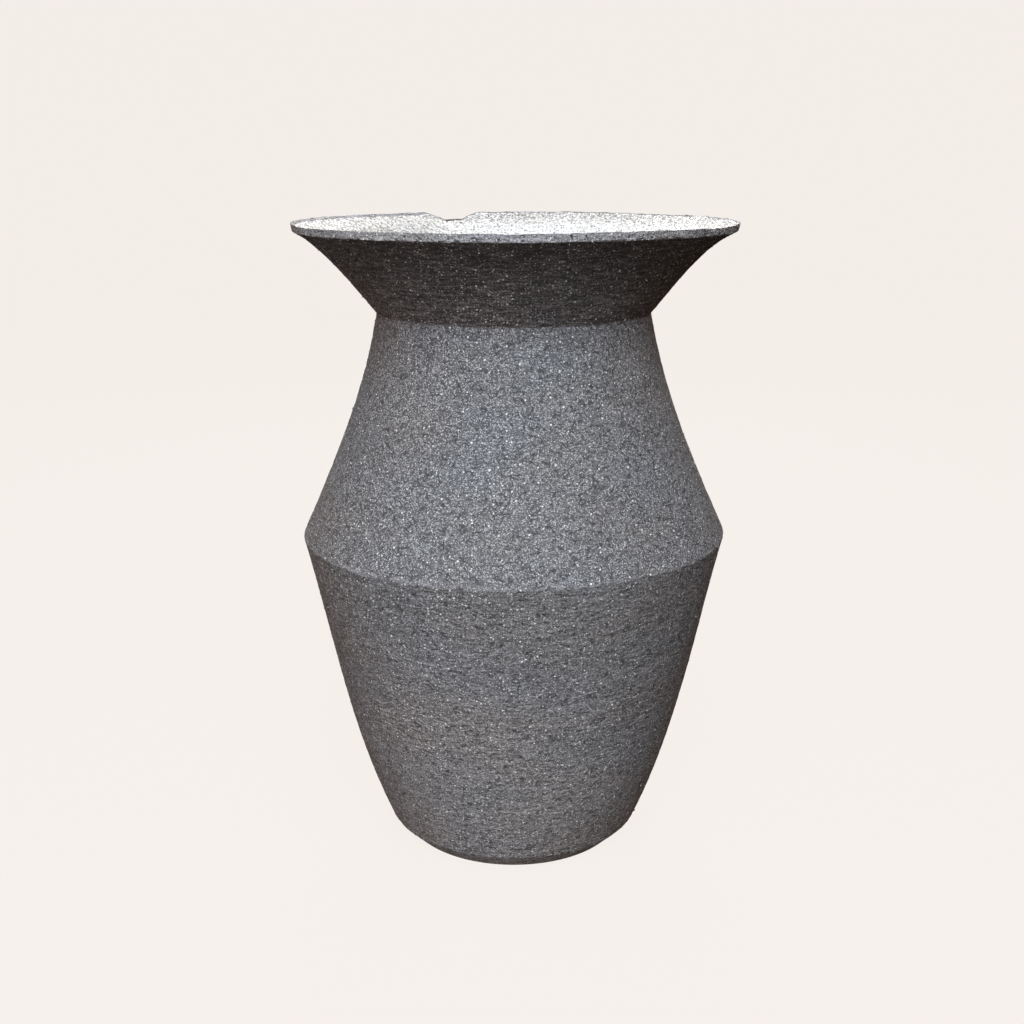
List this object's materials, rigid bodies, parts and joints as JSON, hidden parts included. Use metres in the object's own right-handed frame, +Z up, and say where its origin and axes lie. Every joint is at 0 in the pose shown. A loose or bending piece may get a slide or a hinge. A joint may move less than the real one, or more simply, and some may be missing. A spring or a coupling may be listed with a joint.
{
  "type": "black stoneware vase",
  "caption": "Hand-built black stoneware vase with a conical body, sharp belly ridge, sloping shoulder, wide flared collar and white glazed inside.",
  "frame": {"origin": "middle of the flat foot, on the surface the vase stands on", "axes": "+Z up along the vase's axis of revolution; every direction round it is alike, and -Y is taken as the front"},
  "size_m": [0.2712, 0.2712, 0.4],
  "materials": {
    "black_clay": "unglazed fired stoneware, matte, coarse grog",
    "clay_slip": "unglazed fired slip, matte, fine",
    "pale_grog": "pale chamotte grains in the clay, matte",
    "white_glaze": "glossy white glaze with dark iron specks"
  },
  "bodies": {
    "root": {"floor_slab": "black_clay", "floor_seam_slip": "clay_slip", "floor_fillet_coil": "black_clay", "lower_wall": "black_clay", "belly_seam_slip": "clay_slip", "belly_fillet_coil": "black_clay", "shoulder_wall": "black_clay", "neck_seam_slip": "clay_slip", "collar_wall": "black_clay", "interior_glaze": "white_glaze"}
  },
  "joints": []
}
